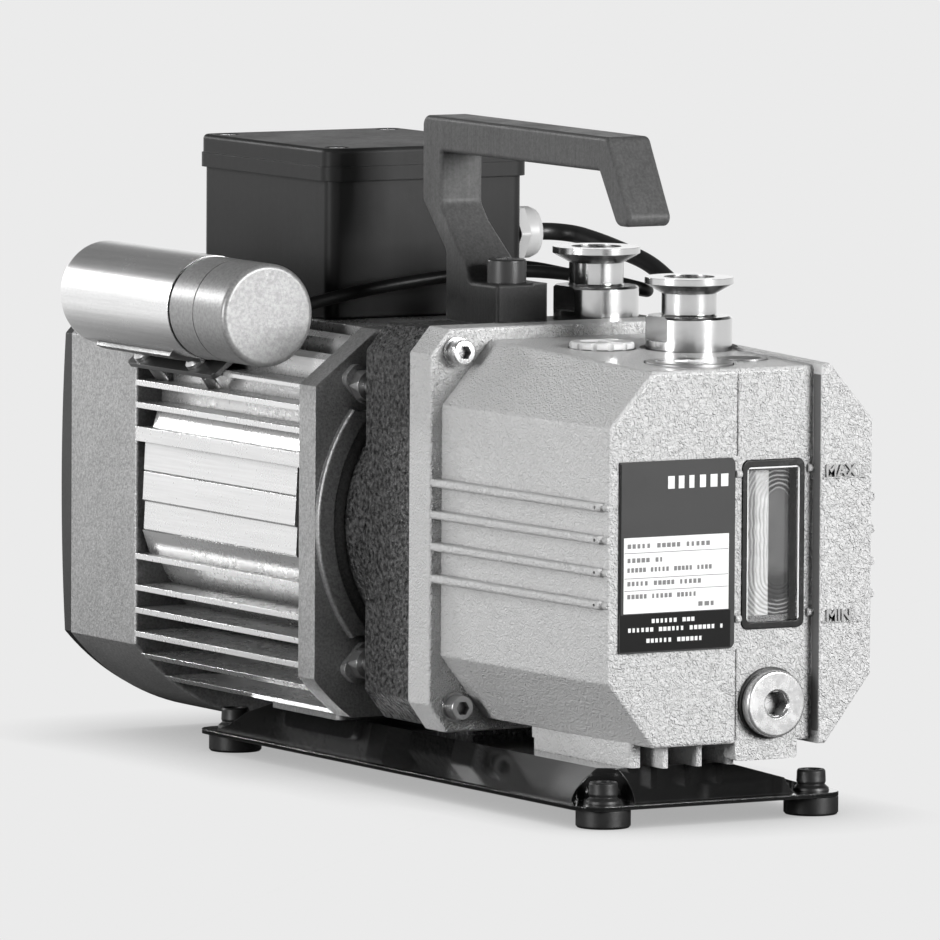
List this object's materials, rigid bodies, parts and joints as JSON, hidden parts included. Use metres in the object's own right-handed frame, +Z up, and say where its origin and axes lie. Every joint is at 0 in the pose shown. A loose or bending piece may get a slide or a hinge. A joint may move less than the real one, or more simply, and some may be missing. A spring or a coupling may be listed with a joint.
{
  "type": "rotary vane vacuum pump",
  "caption": "Oil-sealed rotary vane vacuum pump with small-flange ports, sight glass, finned motor with capacitor, terminal box, carrying handle and rubber-footed tray.",
  "frame": {"origin": "floor plane at the centre of the four foot bores", "axes": "+X right as seen from the sight-glass end, +Y from the sight glass towards the motor along the shaft, +Z up"},
  "size_m": [0.1682, 0.35, 0.2266],
  "materials": {
    "case_paint": "light grey textured paint on cast aluminium",
    "housing_paint": "coarse black wrinkle paint on cast aluminium",
    "cast_aluminium": "blasted cast aluminium",
    "extruded_aluminium": "bright extruded aluminium",
    "can_aluminium": "drawn aluminium, fine brushed",
    "bright_steel": "turned and polished stainless steel",
    "plug_steel": "turned, zinc plated",
    "screw_steel": "zinc plated",
    "black_screw": "black oxide",
    "black_plastic": "moulded black plastic",
    "cover_plastic": "moulded black plastic",
    "gland_plastic": "light grey polyamide",
    "knob_plastic": "light grey moulded plastic",
    "tray_paint": "gloss black enamel on pressed steel",
    "handle_paint": "satin black on cast aluminium",
    "foot_rubber": "moulded rubber",
    "seal_rubber": "nitrile rubber",
    "cable_rubber": "black cable sheath",
    "glass": "clear float glass",
    "frame_plastic": "dark moulded frame",
    "label": "dark printed aluminium plate",
    "pump_iron": "ground cast iron",
    "shaft_steel": "ground steel",
    "vane_resin": "fibre-filled resin",
    "spring_steel": "spring steel strip",
    "lamination_steel": "stacked electrical steel",
    "copper": "enamelled copper windings",
    "spider_plastic": "elastic polyurethane",
    "filter_mesh": "pressed wire mesh"
  },
  "bodies": {
    "pump": {"oil_case": "case_paint", "case_screws": "screw_steel", "sight_glass_frame": "frame_plastic", "sight_glass": "glass", "rating_plate": "label", "drain_plug": "plug_steel", "drain_plug_seal": "seal_rubber", "filler_plug": "plug_steel", "top_plug": "plug_steel", "exhaust_port": "bright_steel", "intake_port": "bright_steel", "exhaust_filter": "filter_mesh", "coupling_housing": "housing_paint", "shaft_seal": "seal_rubber", "clamp_bolts": "screw_steel", "pump_rear_plate": "pump_iron", "hv_stator": "pump_iron", "pump_mid_plate": "pump_iron", "fv_stator": "pump_iron", "pump_front_plate": "pump_iron", "tie_screws": "black_screw", "valve_stops": "screw_steel", "oil_pump_cover": "cast_aluminium", "motor_front_shield": "cast_aluminium", "motor_housing": "extruded_aluminium", "motor_rear_shield": "cast_aluminium", "fan_cover": "cover_plastic", "stator_core": "lamination_steel", "windings": "copper", "bearings": "shaft_steel", "motor_foot": "cast_aluminium", "terminal_box": "black_plastic", "terminal_lid": "black_plastic", "pan_screws": "screw_steel", "cable_gland": "gland_plastic", "power_cable": "cable_rubber", "capacitor_can": "can_aluminium", "capacitor_cap": "can_aluminium", "capacitor_bracket": "screw_steel", "capacitor_lead": "cable_rubber", "handle": "handle_paint", "handle_screw": "black_screw", "base_plate": "tray_paint", "rubber_feet": "foot_rubber", "base_screws": "screw_steel"},
    "shaft": {"pump_rotor": "shaft_steel", "motor_shaft": "shaft_steel", "motor_rotor": "lamination_steel", "fan": "cover_plastic", "coupling_hubs": "cast_aluminium", "coupling_spider": "spider_plastic"},
    "vane_hv_a": {"vane_hv_a": "vane_resin"},
    "vane_hv_b": {"vane_hv_b": "vane_resin"},
    "vane_fv_a": {"vane_fv_a": "vane_resin"},
    "vane_fv_b": {"vane_fv_b": "vane_resin"},
    "oil_gear": {"oil_gear_driven": "shaft_steel"},
    "ballast_knob": {"ballast_knob": "knob_plastic"},
    "suction_valve": {"suction_valve": "vane_resin"},
    "valve_flap_hv": {"valve_flap_hv": "spring_steel"},
    "valve_flap_fv": {"valve_flap_fv": "spring_steel"}
  },
  "joints": [
    {"name": "shaft_spin", "type": "hinge", "parent": "pump", "child": "shaft", "pos_m": [0, 0, 0.088], "axis": [0, 1, 0], "continuous": true},
    {"name": "vane_hv_a_slide", "type": "slide", "parent": "shaft", "child": "vane_hv_a", "axis": [1, 0, 0], "range_m": [0, 0.0035]},
    {"name": "vane_hv_b_slide", "type": "slide", "parent": "shaft", "child": "vane_hv_b", "axis": [-1, 0, 0], "range_m": [0, 0.0035]},
    {"name": "vane_fv_a_slide", "type": "slide", "parent": "shaft", "child": "vane_fv_a", "axis": [1, 0, 0], "range_m": [0, 0.0035]},
    {"name": "vane_fv_b_slide", "type": "slide", "parent": "shaft", "child": "vane_fv_b", "axis": [-1, 0, 0], "range_m": [0, 0.0035]},
    {"name": "oil_gear_spin", "type": "hinge", "parent": "pump", "child": "oil_gear", "pos_m": [0.014, -0.0964, 0.088], "axis": [0, 1, 0], "continuous": true},
    {"name": "ballast_turn", "type": "hinge", "parent": "pump", "child": "ballast_knob", "pos_m": [-0.0059, -0.064, 0.153], "axis": [0, 0, 1], "range_deg": [0, 90]},
    {"name": "suction_valve_lift", "type": "slide", "parent": "pump", "child": "suction_valve", "axis": [0, 0, 1], "range_m": [0, 0.003]},
    {"name": "valve_flap_hv_lift", "type": "hinge", "parent": "pump", "child": "valve_flap_hv", "pos_m": [-0.0034, -0.0434, 0.11952], "axis": [0, -1, 0], "range_deg": [0, 12]},
    {"name": "valve_flap_fv_lift", "type": "hinge", "parent": "pump", "child": "valve_flap_fv", "pos_m": [-0.0034, -0.0754, 0.11952], "axis": [0, -1, 0], "range_deg": [0, 12]}
  ],
  "couplings": [
    {"joint": "oil_gear_spin", "follows": "shaft_spin", "ratio": -1}
  ]
}
